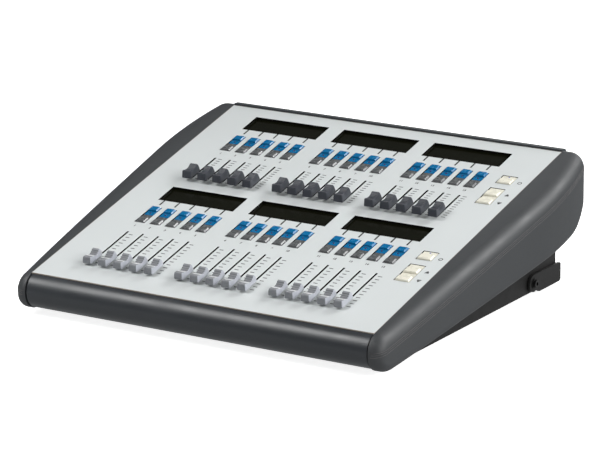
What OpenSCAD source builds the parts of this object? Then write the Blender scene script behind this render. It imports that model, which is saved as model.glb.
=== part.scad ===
// Lighting control desk: a sloping fader wing with two rows of faders, key pairs and display windows.
// Every module draws in desk coordinates: X to the right, Y to the rear and Z up, with the panel's front
// top edge at Y = 0, Z = 0. stand() then sets the desk on its feet and centres its box on the origin.

/* [Top panel] */
// Width of the sloping panel
panel_w = 432; // [430:0.5:434]
// Length of the panel up its slope
panel_l = 412; // [410:0.5:413]
// Thickness of the panel's sheet
panel_t = 2; // [1.5:0.25:2.5]
// Slope of the panel to the horizontal, in degrees
tilt = 14; // [13.5:0.25:14.5]

/* [Fader and key layout] */
// Distance between neighbouring fader slots
fader_pitch = 20; // [19.5:0.25:20.5]
// Distance between groups of five faders
group_pitch = 119; // [117:0.5:121]
// Distance from the panel's left edge to the first slot
first_slot = 52.5; // [51:0.25:54]
// Travel of the upper faders
upper_travel = 48; // [40:1:48]
// Travel of the lower faders
lower_travel = 64; // [54:1:64]
// Place of the upper fader levers at the bottom of their travel, up the slope
upper_rest = 240; // [239:0.5:241]
// Place of the lower fader levers at the bottom of their travel, up the slope
lower_rest = 40; // [39:0.5:42]
// Width of a fader slot
slot_w = 2.4; // [1.8:0.1:2.6]
// Width of a key cutout
key_w = 13.7; // [13.4:0.1:14]
// Length of a cutout that holds one blue and one grey key
key_pair_l = 36.1; // [35.7:0.1:36.5]
// Front edge of the upper key cutouts, up the slope
upper_key_v = 308.4; // [307.4:0.2:310]
// Front edge of the lower key cutouts, up the slope
lower_key_v = 132.5; // [131.5:0.2:134]
// Distance a key sinks when it is pressed
key_travel = 1.5; // [1:0.1:1.6]

/* [Display windows] */
// Width of a display window
window_w = 99.2; // [97:0.2:101]
// Height of a display window, up the slope
window_h = 31.5; // [30:0.25:33]
// Front edge of the upper windows, up the slope
upper_window_v = 361; // [360:0.5:363]
// Front edge of the lower windows, up the slope
lower_window_v = 184.3; // [183.5:0.5:186]

/* [Page keys] */
// Left edge of the page key cutouts, from the panel's left edge
page_key_u = 394.5; // [393:0.5:396]
// Width of a page key cutout
page_key_w = 19.1; // [18.7:0.1:19.5]
// Depth of one page key
page_key_l = 17.5; // [17:0.1:17.7]
// Front edge of the upper pair of page keys, up the slope
upper_page_v = 279.3; // [278:0.2:281]
// Front edge of the lower pair of page keys, up the slope
lower_page_v = 103.3; // [102:0.2:105]

/* [Casing] */
// Height of the panel's front edge above the table
front_h = 48; // [47.5:0.5:50]
// Height of the rubber feet
foot_h = 4; // [3.5:0.5:5]
// Distance the cheeks reach in front of the panel
nose_reach = 14; // [13:0.5:15]
// Place of the cheeks' rear face behind the panel's front edge
cheek_rear = 411.5; // [409:0.5:413]
// Thickness of a cheek at its nose
cheek_nose_t = 14; // [13:0.5:16]
// Growth of a cheek's thickness from the nose to its widest place
cheek_growth = 24.5; // [20:0.5:28]
// Thickness of the chassis sheet
sheet = 1.5; // [1.2:0.1:2]
// Place of the rear panel's outer face behind the panel's front edge
rear_y = 388; // [386:0.5:390]

/* [Tilt leg] */
// Distance of the leg's pivot behind the panel's front edge
pivot_y = 331.5; // [330:0.5:333]
// Depth of the leg's pivot below the panel's front edge
pivot_drop = 33; // [32:0.5:34]
// Radius of the pivot bolt's shank
bolt_r = 3; // [2.5:0.25:3.5]
// Radial clearance between the bolt and the leg
pivot_gap = 0.05; // [0.02:0.01:0.1]

/* [Hidden] */

$fn = 48;
eps = 0.01;

// casing, in desk coordinates
slope = tan(tilt);
desk_mid = (cheek_rear - nose_reach) / 2;
base_z = foot_h - front_h;
tray_x = panel_w / 2 - 0.4;
nose_r = 21;
nose_y = nose_r - nose_reach;
nose_z = nose_y * slope - nose_r / cos(tilt);
nose_drop = 21.2;
rail_front = 26;
rail_wall = 2.5;
rail_gap = 1.4;

// electronics below the panel, measured down from its top surface
housing_top = 3.2;
housing_bottom = 12;
board_top = 12.2;
board_t = 1.6;
switch_top = 7.9;
window_t = 1.5;
module_bottom = 11;

// where the columns and groups stand, from the panel's centre line
columns = [0 : 4];
groups = [0 : 2];
key_left = 6.6;
function slot_x(group, column) = first_slot + group * group_pitch + column * fader_pitch - panel_w / 2;
function fader_x(number) = slot_x(floor((number - 1) / 5), (number - 1) % 5);
function two_digits(number) = str(number < 10 ? "0" : "", number);

// stands the desk on its feet with its box centred on the origin
module stand() {
    translate([0, -desk_mid, front_h]) children();
}

// moves to the panel's own axes: X across, Y up the slope and Z out of its top surface
module on_panel() {
    stand() rotate([tilt, 0, 0]) children();
}

// a block between two corners
module block(low, high) {
    translate(low) cube(high - low);
}

// a side profile in Y and Z, drawn from x1 to x2
module side_profile(x1, x2) {
    translate([x1, 0, 0]) rotate([90, 0, 90]) linear_extrude(x2 - x1) children();
}

/* ---------- panel and its openings ---------- */

module each_column() {
    for (group = groups, column = columns) translate([slot_x(group, column), 0, 0]) children();
}

// a window's left edge stands to the left of the first slot in its group
window_left = 9;
module each_window(v) {
    for (group = groups) translate([slot_x(group, 0) - window_left, v, 0]) children();
}

// a slot runs a little past the travel of its lever, and a lower slot further still at its rear end
slot_margin = 2.2;
lower_slot_extra = 4.5;
module top_panel() {
    color("gainsboro") on_panel() difference() {
        block([-panel_w / 2, 0, -panel_t], [panel_w / 2, panel_l, 0]);
        for (v = [lower_window_v, upper_window_v])
            each_window(v) block([0, 0, -panel_t - 1], [window_w, window_h, 1]);
        for (v = [lower_key_v, upper_key_v])
            each_column() block([-key_left, v, -panel_t - 1], [key_w - key_left, v + key_pair_l, 1]);
        each_column() fader_slot(lower_rest, lower_travel + lower_slot_extra);
        each_column() fader_slot(upper_rest, upper_travel);
        for (v = [lower_page_v, upper_page_v]) page_key_openings(v);
    }
}

module fader_slot(rest, travel) {
    block([-slot_w / 2, rest - slot_margin, -panel_t - 1], [slot_w / 2, rest + travel + slot_margin, 1]);
}

// gaps round the keys: at their sides, at the ends of a cutout and between the two keys of a pair
side_gap = 1;
end_gap = 0.6;
middle_gap = 0.3;

// a pair of page keys, and one more key behind it
page_pair_l = 2 * page_key_l + 2 * end_gap + middle_gap;
page_step = 10.4;
page_places = [end_gap, end_gap + page_key_l + middle_gap, page_pair_l + page_step + end_gap];
module page_key_openings(v) {
    translate([page_key_u - panel_w / 2, v, 0]) {
        block([0, 0, -panel_t - 1], [page_key_w, page_pair_l, 1]);
        translate([0, page_pair_l + page_step, 0])
            block([0, 0, -panel_t - 1], [page_key_w, page_key_l + 2 * end_gap, 1]);
    }
}

/* ---------- keys ---------- */

// heights of a key, up from the panel's top surface: its flat part lies a little below it
cap_flat = -0.4;
cap_rim = 0.15;
cap_pad = 1.7;
cap_root = -2;
cap_skirt = 6;

// a key cap: a flat part, a raised pad with sloping flanks, a skirt and a stem.
// The cap starts at the origin, and its pad is at the far end in Y.
module key_cap(width, length, pad_start) {
    side_flank = 1.2;
    end_flank = 0.8;
    inner_flank = 0.3;
    stem_gap = 0.2;
    stem_foot = switch_top - key_travel - stem_gap;
    block([0, 0, -cap_skirt], [width, length, cap_flat]);
    intersection() {
        side_profile(0, width)
            polygon([[pad_start, cap_root], [length, cap_root], [length, cap_rim],
                     [length - end_flank, cap_pad], [pad_start + inner_flank, cap_pad],
                     [pad_start, cap_flat - eps]]);
        translate([0, length + 1, 0]) rotate([90, 0, 0]) linear_extrude(length + 1)
            polygon([[0, cap_root], [width, cap_root], [width, cap_rim], [width - side_flank, cap_pad],
                     [side_flank, cap_pad], [0, cap_rim]]);
    }
    translate([width / 2, length / 2, -stem_foot]) cylinder(r = 2, h = stem_foot - cap_skirt + 1);
}

// the same cap with its pad at the near end, starting at the origin
module front_pad_cap(width, length, pad_start) {
    translate([0, length, 0]) mirror([0, 1, 0]) key_cap(width, length, pad_start);
}

key_cap_w = key_w - 2 * side_gap;
key_cap_l = (key_pair_l - 2 * end_gap - middle_gap) / 2;
key_cap_x = side_gap - key_left;
key_back = end_gap + key_cap_l + middle_gap;
pad_start = 8;

module blue_keys(v) {
    color("steelblue") on_panel() each_column()
        translate([key_cap_x, v + key_back, 0]) key_cap(key_cap_w, key_cap_l, pad_start);
}

module grey_keys(v) {
    color("dimgray") on_panel() each_column()
        translate([key_cap_x, v + end_gap, 0]) front_pad_cap(key_cap_w, key_cap_l, pad_start);
}

module page_keys(v) {
    left = page_key_u - panel_w / 2 + side_gap;
    color("ivory") on_panel() for (place = page_places)
        translate([left, v + place, 0])
            front_pad_cap(page_key_w - 2 * side_gap, page_key_l, pad_start);
}

module upper_blue_keys() { blue_keys(upper_key_v); }
module upper_grey_keys() { grey_keys(upper_key_v); }
module lower_blue_keys() { blue_keys(lower_key_v); }
module lower_grey_keys() { grey_keys(lower_key_v); }
module upper_page_keys() { page_keys(upper_page_v); }
module lower_page_keys() { page_keys(lower_page_v); }

module key_switches() {
    body = 11;
    color("black") on_panel() {
        for (v = [lower_key_v, upper_key_v]) each_column()
            for (start = [end_gap, key_back])
                translate([key_cap_x + key_cap_w / 2, v + start + key_cap_l / 2, 0])
                    block([-body / 2, -body / 2, -board_top], [body / 2, body / 2, -switch_top]);
        for (v = [lower_page_v, upper_page_v])
            for (place = page_places)
                translate([page_key_u - panel_w / 2 + page_key_w / 2, v + place + page_key_l / 2, 0])
                    block([-body / 2, -body / 2, -board_top], [body / 2, body / 2, -switch_top]);
    }
}

/* ---------- faders ---------- */

lever_t = 1.2;
lever_w = 3.6;
lever_depth = 9;
cap_w = 11.4;
cap_top_w = 9.4;
cap_tall = 14.5;

// points of the rounded rear of a cap, from its foot up to its highest place
function rear_curve(peak, reach, low) =
    [for (a = [15 : 15 : 75]) [peak[0] + reach * cos(a), low + (peak[1] - low) * sin(a)]];

// side outline of an upper cap, with its lever at the origin: a front that leans back, a scooped top
// and a rounded rear
upper_cap_low = 4.7;
module upper_cap_outline() {
    lip = [-7.4, 13.1];
    peak = [7.2, 14.4];
    rear_r = 3.6;
    scoop = 1.7;
    polygon(concat(
        [[-9.9, upper_cap_low], [peak[0] + rear_r, upper_cap_low]],
        rear_curve(peak, rear_r, upper_cap_low),
        [for (t = [0 : 0.125 : 1]) peak + (lip - peak) * t - [0, scoop * sin(180 * t)]],
        [[lip[0] - 0.6, lip[1] - 0.7]]));
}

// side outline of a lower cap: a front block whose top falls back to a small step, a valley behind it
// and a higher rear block
lower_cap_low = 2.9;
module lower_cap_outline() {
    step_top = [0.1, 8.4];
    valley = [0.6, 7.7];
    peak = [10, 11.3];
    rear_r = 3.6;
    scoop = 1.3;
    polygon(concat(
        [[-9.4, lower_cap_low], [peak[0] + rear_r, lower_cap_low]],
        rear_curve(peak, rear_r, lower_cap_low),
        [for (t = [0 : 0.125 : 1]) peak + (valley - peak) * t - [0, scoop * sin(180 * t)]],
        [step_top, [-6.9, 10.3], [-7.5, 9.6]]));
}

// a cap with sides that lean inwards, on a lever that reaches down through the slot
module fader(number, rest, low) {
    reach = 20;
    on_panel() translate([fader_x(number), rest, 0]) {
        intersection() {
            side_profile(-cap_w, cap_w) children();
            translate([0, reach, 0]) rotate([90, 0, 0]) linear_extrude(2 * reach)
                polygon([[-cap_w / 2, low], [cap_w / 2, low],
                         [cap_top_w / 2, cap_tall], [-cap_top_w / 2, cap_tall]]);
        }
        block([-lever_t / 2, -lever_w / 2, -lever_depth], [lever_t / 2, lever_w / 2, low + 2]);
    }
}

module upper_fader(number) {
    color("darkslategray") fader(number, upper_rest, upper_cap_low) upper_cap_outline();
}

module lower_fader(number) {
    color("lightsteelblue") fader(number, lower_rest, lower_cap_low) lower_cap_outline();
}

module fader_housing(rest, travel) {
    half = 4.5;
    overrun = 13;
    channel = 2.6;
    difference() {
        block([-half, rest - overrun, -housing_bottom], [half, rest + travel + overrun, -housing_top]);
        block([-channel / 2, rest - slot_margin, -lever_depth - 0.6],
              [channel / 2, rest + travel + slot_margin, -housing_top + 1]);
    }
}

module fader_housings() {
    color("silver") on_panel() each_column() {
        fader_housing(upper_rest, upper_travel);
        fader_housing(lower_rest, lower_travel);
    }
}

/* ---------- displays and boards ---------- */

// a window is a clear sheet with a raised rim that bears on the panel's underside
window_recess = 1;
module display_windows() {
    lip = 3;
    play = 0.2;
    color([0.1, 0.1, 0.08]) on_panel() for (v = [lower_window_v, upper_window_v])
        each_window(v) difference() {
            block([-lip, -lip, -panel_t - window_recess - window_t],
                  [window_w + lip, window_h + lip, -panel_t]);
            block([-play, -play, -panel_t - window_recess], [window_w + play, window_h + play, 0]);
        }
}

module display_modules() {
    rim = 2;
    top = -panel_t - window_recess - window_t - 0.2;
    color("darkolivegreen") on_panel() for (v = [lower_window_v, upper_window_v])
        each_window(v) block([-rim, -rim, -module_bottom], [window_w + rim, window_h + rim, top]);
}

board_half = 208;
upper_board = [222, 384];
lower_board = [28, 218];
module control_board(ends) {
    color("darkgreen") on_panel()
        block([-board_half, ends[0], -board_top - board_t], [board_half, ends[1], -board_top]);
}
module upper_control_board() { control_board(upper_board); }
module lower_control_board() { control_board(lower_board); }

// the processor board stands on posts above the tray's floor, and carries a heat sink and a connector
tray_floor = base_z + sheet;
deck_z = tray_floor + 12;
deck_x = [20, 180];
deck_y = [190, 300];
module processor_board() {
    top = deck_z + board_t;
    color("seagreen") stand() {
        block([deck_x[0], deck_y[0], deck_z], [deck_x[1], deck_y[1], top]);
        translate([deck_x[0] + 50, deck_y[0] + 30, top]) cube([40, 40, 6]);
        translate([deck_x[1] - 50, deck_y[1] - 30, top]) cube([40, 26, 10]);
    }
}

// the supply's case stands on pads and has cooling slots in its top
supply_x = [-180, -80];
supply_y = [215, 335];
supply_lift = 4;
supply_h = 40;
module power_supply() {
    low = tray_floor + supply_lift;
    vent_edge = 10;
    vent_depth = 4;
    color("darkgray") stand() difference() {
        block([supply_x[0], supply_y[0], low], [supply_x[1], supply_y[1], low + supply_h]);
        for (i = [0 : 9]) translate([supply_x[0] + vent_edge + i * 9, 0, 0])
            block([0, supply_y[0] + vent_edge, low + supply_h - vent_depth],
                  [4, supply_y[1] - vent_edge, low + supply_h + 1]);
    }
}

module board_standoffs() {
    edge = 6;
    color("goldenrod") {
        stand() for (x = [deck_x[0] + edge, deck_x[1] - edge], y = [deck_y[0] + edge, deck_y[1] - edge])
            translate([x, y, tray_floor]) cylinder(r = 3, h = deck_z - tray_floor);
        stand() for (x = [supply_x[0] + 10, supply_x[1] - 10], y = [supply_y[0] + 10, supply_y[1] - 10])
            translate([x, y, tray_floor]) cylinder(r = 4, h = supply_lift);
        on_panel() for (x = [-board_half + edge, board_half - edge], ends = [upper_board, lower_board])
            for (v = [ends[0] + edge, ends[1] - edge])
                translate([x, v, -board_top]) cylinder(r = 2.5, h = board_top - panel_t);
    }
}

// flat cables that hang from the two control boards to the processor board
module ribbon_cables() {
    thick = 1;
    half = 12;
    reach = 14;
    start_z = deck_z + board_t;
    color("lightgray") stand() for (place = [[100, 204, 120], [140, 264, 300]]) {
        top_z = place[2] * slope - (board_top + board_t) / cos(tilt) - 0.4;
        side_profile(place[0] - half, place[0] + half)
            polygon([[place[1], start_z], [place[1] + thick, start_z],
                     [place[1] + thick, start_z + reach],
                     [place[2] + thick, top_z - reach / 2], [place[2] + thick, top_z],
                     [place[2], top_z], [place[2], top_z - reach / 2 - thick / 2],
                     [place[1], start_z + reach - thick / 2]]);
    }
}

/* ---------- casing ---------- */

// height of the panel's top surface at a place Y
function panel_z(y) = y * slope;

// side outline of the rail at a given radius: a half round nose that runs straight to the rear
rail_inset = 1;
module rail_outline(radius, rear) {
    polygon(concat(
        [for (a = [90 : 7.5 : 270]) [nose_y + radius * cos(a), nose_z + radius * sin(a)]],
        [[rear, nose_z - radius], [rear, nose_z + radius]]));
}

module front_rail() {
    half = panel_w / 2 - rail_gap;
    color("dimgray") stand() side_profile(-half, half) difference() {
        rail_outline(nose_r - rail_inset, rail_front);
        rail_outline(nose_r - rail_inset - rail_wall, rail_front + 1);
        rotate(tilt) translate([-0.2, -panel_t - 0.2]) square([2 * rail_front, nose_r]);
    }
}

trim_w = 10.8;
trim_drop = 14;
trim_rise = 2;
module rear_trim() {
    half = panel_w / 2 - 0.4;
    start = panel_l * cos(tilt) + 0.6;
    end = start + trim_w;
    inner = rear_y + 0.2;
    crest = panel_z(start) + trim_rise;
    bottom = panel_z(start) - trim_drop;
    round_r = 5;
    under_panel = panel_t / cos(tilt) + 0.3;
    color("dimgray") stand() side_profile(-half, half) difference() {
        union() {
            polygon([[inner, bottom], [end, bottom], [end, crest - round_r], [end - round_r, crest],
                     [start, crest], [start, panel_z(start) - under_panel],
                     [inner, panel_z(inner) - under_panel]]);
            translate([end - round_r, crest - round_r]) circle(r = round_r);
        }
        translate([inner + rail_wall, bottom + rail_wall])
            square([end - inner - 2 * rail_wall, trim_drop - under_panel - 3 * rail_wall]);
    }
}

module base_tray() {
    front = rail_front + 0.2;
    rear = rear_y - sheet - 0.2;
    top_gap = panel_t / cos(tilt) + 0.3;
    color([0.13, 0.13, 0.13]) stand() {
        block([-tray_x, front, base_z], [tray_x, rear, base_z + sheet]);
        for (side = [0, 1]) mirror([side, 0, 0]) side_profile(tray_x - sheet, tray_x) difference() {
            polygon([[front, base_z], [rear_y, base_z], [rear_y, panel_z(rear_y) - top_gap],
                     [front, panel_z(front) - top_gap]]);
            translate([pivot_y, -pivot_drop]) circle(r = bolt_r + pivot_gap);
        }
        block([-tray_x, front, base_z], [tray_x, front + sheet, base_z + 8]);
    }
}

// the sockets in the rear panel stand at one height; the inlet's body also carries the rocker
socket_z = 30;
inlet_x = -150;
inlet_left = 24;
inlet_right = 44;
inlet_half_h = 14;
rocker_x = -120;
usb_x = 60;
usb_half_w = 8;
usb_half_h = 7;

// an opening through the rear panel, between two places in X and at a half height about the sockets
module rear_opening(x1, x2, half_h) {
    block([x1, rear_y - sheet - 1, socket_z - half_h], [x2, rear_y + 1, socket_z + half_h]);
}

module rear_panel() {
    half = tray_x - sheet - 0.2;
    top = panel_z(rear_y) - panel_t / cos(tilt) - 0.8;
    inlet_gap = 0.4;
    usb_gap = 0.2;
    vent_x = 120;
    vent_w = 3;
    vent_half_h = 15;
    color([0.16, 0.16, 0.16]) stand() difference() {
        block([-half, rear_y - sheet, base_z], [half, rear_y, top]);
        rear_opening(inlet_x - inlet_left - inlet_gap, inlet_x + inlet_right + inlet_gap,
                     inlet_half_h + inlet_gap);
        rear_opening(usb_x - usb_half_w - usb_gap, usb_x + usb_half_w + usb_gap, usb_half_h + usb_gap);
        for (i = [0 : 11]) translate([vent_x + 2 * vent_w * i, 0, 0]) rear_opening(0, vent_w, vent_half_h);
    }
}

// mains inlet in one body with the frame that carries the rocker
rocker_half = 5;
pin_r = 1;
module power_inlet() {
    depth = 24;
    flange = 3;
    flange_t = 2;
    plug_half_w = 13;
    plug_half_h = 9;
    plug_depth = 16;
    rocker_gap = 0.5;
    rocker_depth = 14;
    rocker_half_h = 11;
    color([0.1, 0.1, 0.1]) stand() difference() {
        union() {
            block([inlet_x - inlet_left, rear_y - depth, socket_z - inlet_half_h],
                  [inlet_x + inlet_right, rear_y, socket_z + inlet_half_h]);
            block([inlet_x - inlet_left - flange, rear_y, socket_z - inlet_half_h - flange],
                  [inlet_x + inlet_right + flange, rear_y + flange_t, socket_z + inlet_half_h + flange]);
        }
        block([inlet_x - plug_half_w, rear_y - plug_depth, socket_z - plug_half_h],
              [inlet_x + plug_half_w, rear_y + flange_t + 1, socket_z + plug_half_h]);
        block([rocker_x - rocker_half - rocker_gap, rear_y - rocker_depth, socket_z - rocker_half_h],
              [rocker_x + rocker_half + rocker_gap, rear_y + flange_t + 1, socket_z + rocker_half_h]);
        rocker_pin(rocker_half + 2.5, pin_r + 0.05);
    }
    color("silver") stand() for (place = [[-7, 2], [0, -3], [7, 2]])
        translate([inlet_x + place[0], rear_y - plug_depth - eps, socket_z + place[1]])
            block([-1, 0, -2], [1, 11, 2]);
}

module rocker_pin(half, radius) {
    translate([rocker_x - half, rear_y - 4, socket_z]) rotate([0, 90, 0]) cylinder(r = radius, h = 2 * half);
}

module power_rocker() {
    color("firebrick") stand() {
        side_profile(rocker_x - rocker_half, rocker_x + rocker_half)
            polygon([for (p = [[-3.5, -7], [0.5, -9.4], [3.4, -9.2], [1.2, 0], [0.4, 9.4], [-3, 8]])
                     [rear_y - 1 + p[0], socket_z + p[1]]]);
        rocker_pin(rocker_half + 2, pin_r);
    }
}

module usb_socket() {
    body_depth = 18;
    mouth_half = 5;
    mouth_depth = 12;
    color("silver") stand() difference() {
        block([usb_x - usb_half_w, rear_y - body_depth, socket_z - usb_half_h],
              [usb_x + usb_half_w, rear_y + 1, socket_z + usb_half_h]);
        block([usb_x - mouth_half, rear_y - mouth_depth, socket_z - mouth_half],
              [usb_x + mouth_half, rear_y + 2, socket_z + mouth_half]);
    }
    color("white") stand()
        block([usb_x - 2.5, rear_y - mouth_depth - eps, socket_z - 1.6],
              [usb_x + 2.5, rear_y - 3, socket_z + 1.6]);
}

/* ---------- cheeks ---------- */

cheek_low_y = 10;
cheek_low_z = nose_z - nose_drop;
cheek_low_slope = 8.75;
rear_bottom_r = 56;
rear_top_r = 9;
cheek_round = 16;
cheek_foot_round = 10;
plan_round = 12;
widest_y = 312;
taper_y = 290;
taper = 19.5;

rear_bottom_y = cheek_rear - rear_bottom_r;
rear_bottom_z = cheek_low_z + (rear_bottom_y - cheek_low_y) * tan(cheek_low_slope)
                + rear_bottom_r / cos(cheek_low_slope);
rear_top_y = cheek_rear - rear_top_r;
rear_top_z = rear_top_y * slope - rear_top_r / cos(tilt);

// height of a quarter ellipse at a distance from its centre
function arch(distance, reach, rise) = rise * sqrt(max(0, 1 - pow(distance / reach, 2)));

function cheek_top(y) =
    y < nose_y - nose_r * sin(tilt) ? nose_z + arch(y - nose_y, nose_r, nose_r)
    : y > rear_top_y - rear_top_r * sin(tilt) ? rear_top_z + arch(y - rear_top_y, rear_top_r, rear_top_r)
    : panel_z(y);

function cheek_bottom(y) =
    y < nose_y ? nose_z - arch(y - nose_y, nose_r, nose_drop)
    : y < cheek_low_y ? cheek_low_z
    : y > rear_bottom_y + rear_bottom_r * sin(cheek_low_slope)
        ? rear_bottom_z - arch(y - rear_bottom_y, rear_bottom_r, rear_bottom_r)
    : cheek_low_z + (y - cheek_low_y) * tan(cheek_low_slope);

// outward thickness: it grows from the nose, tapers behind the widest place and rounds off at both ends
function cheek_full(y) =
    cheek_nose_t + cheek_growth * pow((y + nose_reach) / (widest_y + nose_reach), 0.75)
    - taper * pow(max(0, y - taper_y) / (cheek_rear - taper_y), 2);
function cheek_thick(y) =
    cheek_full(y)
    - (plan_round - arch(max(0, plan_round - nose_reach - y), plan_round, plan_round))
    - (plan_round - arch(max(0, y - cheek_rear + plan_round), plan_round, plan_round));

// how far the inner side is hollowed out between the solid nose and the solid rear end
hollow_front = 20;
hollow_rear = 392;
cheek_wall = 4.5;
function cheek_hollow(y) = y > hollow_front && y < hollow_rear ? cheek_thick(y) - cheek_wall : 2 * eps;

// one section across the cheek: rounded outside, with a chamfered hollow inside
function cheek_section(y) =
    let (low = cheek_bottom(y), high = cheek_top(y), out = cheek_thick(y), deep = cheek_hollow(y),
         tall = high - low, top_r = min(cheek_round, 0.5 * tall), foot_r = min(cheek_foot_round, 0.4 * tall),
         top_x = min(cheek_round, 0.9 * out), foot_x = min(cheek_foot_round, 0.9 * out),
         rim = min(4, tall / 6), slant = min(11, tall / 5), floor_x = max(eps, deep - slant))
    concat([[0, y, low]],
           [for (a = [-90 : 15 : 0]) [out - foot_x + foot_x * cos(a), y, low + foot_r + foot_r * sin(a)]],
           [for (a = [0 : 11.25 : 90]) [out - top_x + top_x * cos(a), y, high - top_r + top_r * sin(a)]],
           [[0, y, high], [0, y, high - rim], [floor_x, y, high - rim - 0.1],
            [deep, y, high - rim - slant], [deep, y, low + rim + slant],
            [floor_x, y, low + rim + 0.1], [0, y, low + rim]]);

cheek_stations = concat(
    [for (i = [1 : 8]) -nose_reach + nose_r * (1 - cos(i * 90 / 8))],
    [14, hollow_front, hollow_front + 0.5],
    [for (y = [36 : 20 : 336]) y],
    [for (i = [0 : 5]) rear_bottom_y + rear_bottom_r * sin(i * 90 / 13)],
    [hollow_rear - 0.5, hollow_rear],
    [for (i = [7 : 13]) rear_bottom_y + rear_bottom_r * sin(i * 90 / 13)]);

module cheek() {
    rings = [for (y = cheek_stations) cheek_section(y)];
    count = len(rings[0]);
    last = len(rings) - 1;
    outermost = 7;
    polyhedron(
        points = [for (ring = rings) each ring],
        faces = concat(
            [[for (i = [0 : count - 1]) (i + outermost) % count]],
            [for (s = [0 : last - 1], i = [0 : count - 1], half = [0, 1])
                let (a = s * count + i, b = s * count + (i + 1) % count)
                half == 0 ? [a, a + count, b + count] : [a, b + count, b]],
            [[for (i = [count - 1 : -1 : 0]) last * count + (i + outermost + 1) % count]]),
        convexity = 4);
}

// the cheeks stand a hair's breadth off the panel's edges
seam = 0.05;
module right_cheek() {
    color("slategray") stand() translate([panel_w / 2 + seam, 0, 0]) cheek();
}

module left_cheek() {
    color("slategray") stand() mirror([1, 0, 0]) translate([panel_w / 2 + seam, 0, 0]) cheek();
}

/* ---------- fasteners, feet and leg ---------- */

leg_t = 3;
leg_side = tray_x + 1.2;
leg_h = 20;
leg_reach = 61;
leg_end_r = 9.8;
leg_taper = 1.4;

module case_screws() {
    head_r = 3.2;
    color("silver") stand() {
        for (x = [-150, 0, 150], y = [60, 340]) translate([x, y, base_z - 1.6]) cylinder(r = head_r, h = 1.6);
        for (x = [-200, -70, 70, 200], z = [base_z + 8, 80])
            translate([x, rear_y, z]) rotate([-90, 0, 0]) cylinder(r = head_r, h = 1.6);
    }
}

module rubber_feet() {
    foot_r = 9;
    inset = 24;
    color([0.08, 0.08, 0.08]) stand()
        for (x = [-tray_x + inset, tray_x - inset], y = [rail_front + 8 + inset, rear_y - inset])
            translate([x, y, -front_h]) {
                cylinder(r1 = foot_r - 1, r2 = foot_r, h = 1);
                translate([0, 0, 1]) cylinder(r = foot_r, h = foot_h - 1);
            }
}

// a bolt, its washers and the shank that the leg turns on
module pivot_bolt() {
    washer_r = 7;
    outer_washer_r = 5.8;
    head_r = 4.6;
    leg_out = leg_side + leg_t;
    translate([tray_x - 4, 0, 0]) rotate([0, 90, 0]) cylinder(r = bolt_r, h = leg_out - tray_x + 5);
    translate([tray_x, 0, 0]) rotate([0, 90, 0]) cylinder(r = washer_r, h = leg_side - tray_x - 0.1);
    translate([leg_out + 0.1, 0, 0]) rotate([0, 90, 0]) cylinder(r = outer_washer_r, h = 0.9);
    translate([leg_out + 1, 0, 0]) rotate([0, 90, 0]) difference() {
        cylinder(r = head_r, h = 3);
        translate([0, 0, 1.2]) cylinder(r = 2.3, h = 3, $fn = 6);
    }
}

module pivot_bolts() {
    color([0.12, 0.12, 0.12]) stand() for (side = [0, 1]) mirror([side, 0, 0])
        translate([0, pivot_y, -pivot_drop]) pivot_bolt();
}

// one arm, with its pivot eye at the origin
module leg_arm() {
    side_profile(leg_side, leg_side + leg_t) difference() {
        union() {
            circle(r = leg_end_r);
            polygon([[0, leg_end_r], [leg_reach - 6, leg_end_r - 0.6],
                     [leg_reach - 1.5, leg_end_r - leg_taper + 0.5], [leg_reach, leg_end_r - leg_taper - 1],
                     [leg_reach, -leg_h + leg_end_r], [leg_reach - 2.5, -leg_h + leg_end_r - 2],
                     [12, -leg_h + leg_end_r - 2], [5, -leg_end_r + 1.5], [0, -leg_end_r]]);
        }
        circle(r = bolt_r + pivot_gap);
    }
}

module tilt_leg() {
    bar_t = 2.4;
    color([0.12, 0.12, 0.12]) stand() translate([0, pivot_y, -pivot_drop]) {
        for (side = [0, 1]) mirror([side, 0, 0]) leg_arm();
        block([-leg_side - eps, leg_reach - bar_t, -leg_h + leg_end_r],
              [leg_side + eps, leg_reach, leg_end_r - leg_taper - 1]);
    }
}

top_panel();
front_rail();
rear_trim();
base_tray();
rear_panel();
left_cheek();
right_cheek();
display_windows();
display_modules();
fader_housings();
key_switches();
upper_control_board();
lower_control_board();
processor_board();
power_supply();
power_inlet();
usb_socket();
ribbon_cables();
board_standoffs();
case_screws();
rubber_feet();
pivot_bolts();
tilt_leg();
power_rocker();
upper_blue_keys();
upper_grey_keys();
lower_blue_keys();
lower_grey_keys();
upper_page_keys();
lower_page_keys();
for (i = [1 : 15]) upper_fader(i);
for (i = [1 : 15]) lower_fader(i);
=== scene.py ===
import math

import bmesh
import bpy
from mathutils import Matrix, Vector


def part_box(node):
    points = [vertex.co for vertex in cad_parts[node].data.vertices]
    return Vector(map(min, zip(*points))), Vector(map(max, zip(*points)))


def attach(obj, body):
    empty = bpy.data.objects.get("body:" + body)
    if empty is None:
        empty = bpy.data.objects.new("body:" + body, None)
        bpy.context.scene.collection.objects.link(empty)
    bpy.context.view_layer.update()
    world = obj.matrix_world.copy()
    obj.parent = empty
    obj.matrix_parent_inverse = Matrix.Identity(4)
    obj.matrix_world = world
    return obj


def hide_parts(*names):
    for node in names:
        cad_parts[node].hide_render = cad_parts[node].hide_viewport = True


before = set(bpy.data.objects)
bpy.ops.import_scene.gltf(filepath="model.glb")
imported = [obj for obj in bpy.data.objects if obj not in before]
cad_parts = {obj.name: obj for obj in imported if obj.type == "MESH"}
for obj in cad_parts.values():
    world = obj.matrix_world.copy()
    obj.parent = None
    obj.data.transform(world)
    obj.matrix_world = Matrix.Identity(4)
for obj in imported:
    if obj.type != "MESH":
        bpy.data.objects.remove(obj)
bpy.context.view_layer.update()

# A lighting control desk: a sloping panel of faders, keys and display windows between two moulded
# cheeks. Each section below makes one kind of piece. The last section makes the studio and the camera.

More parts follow.
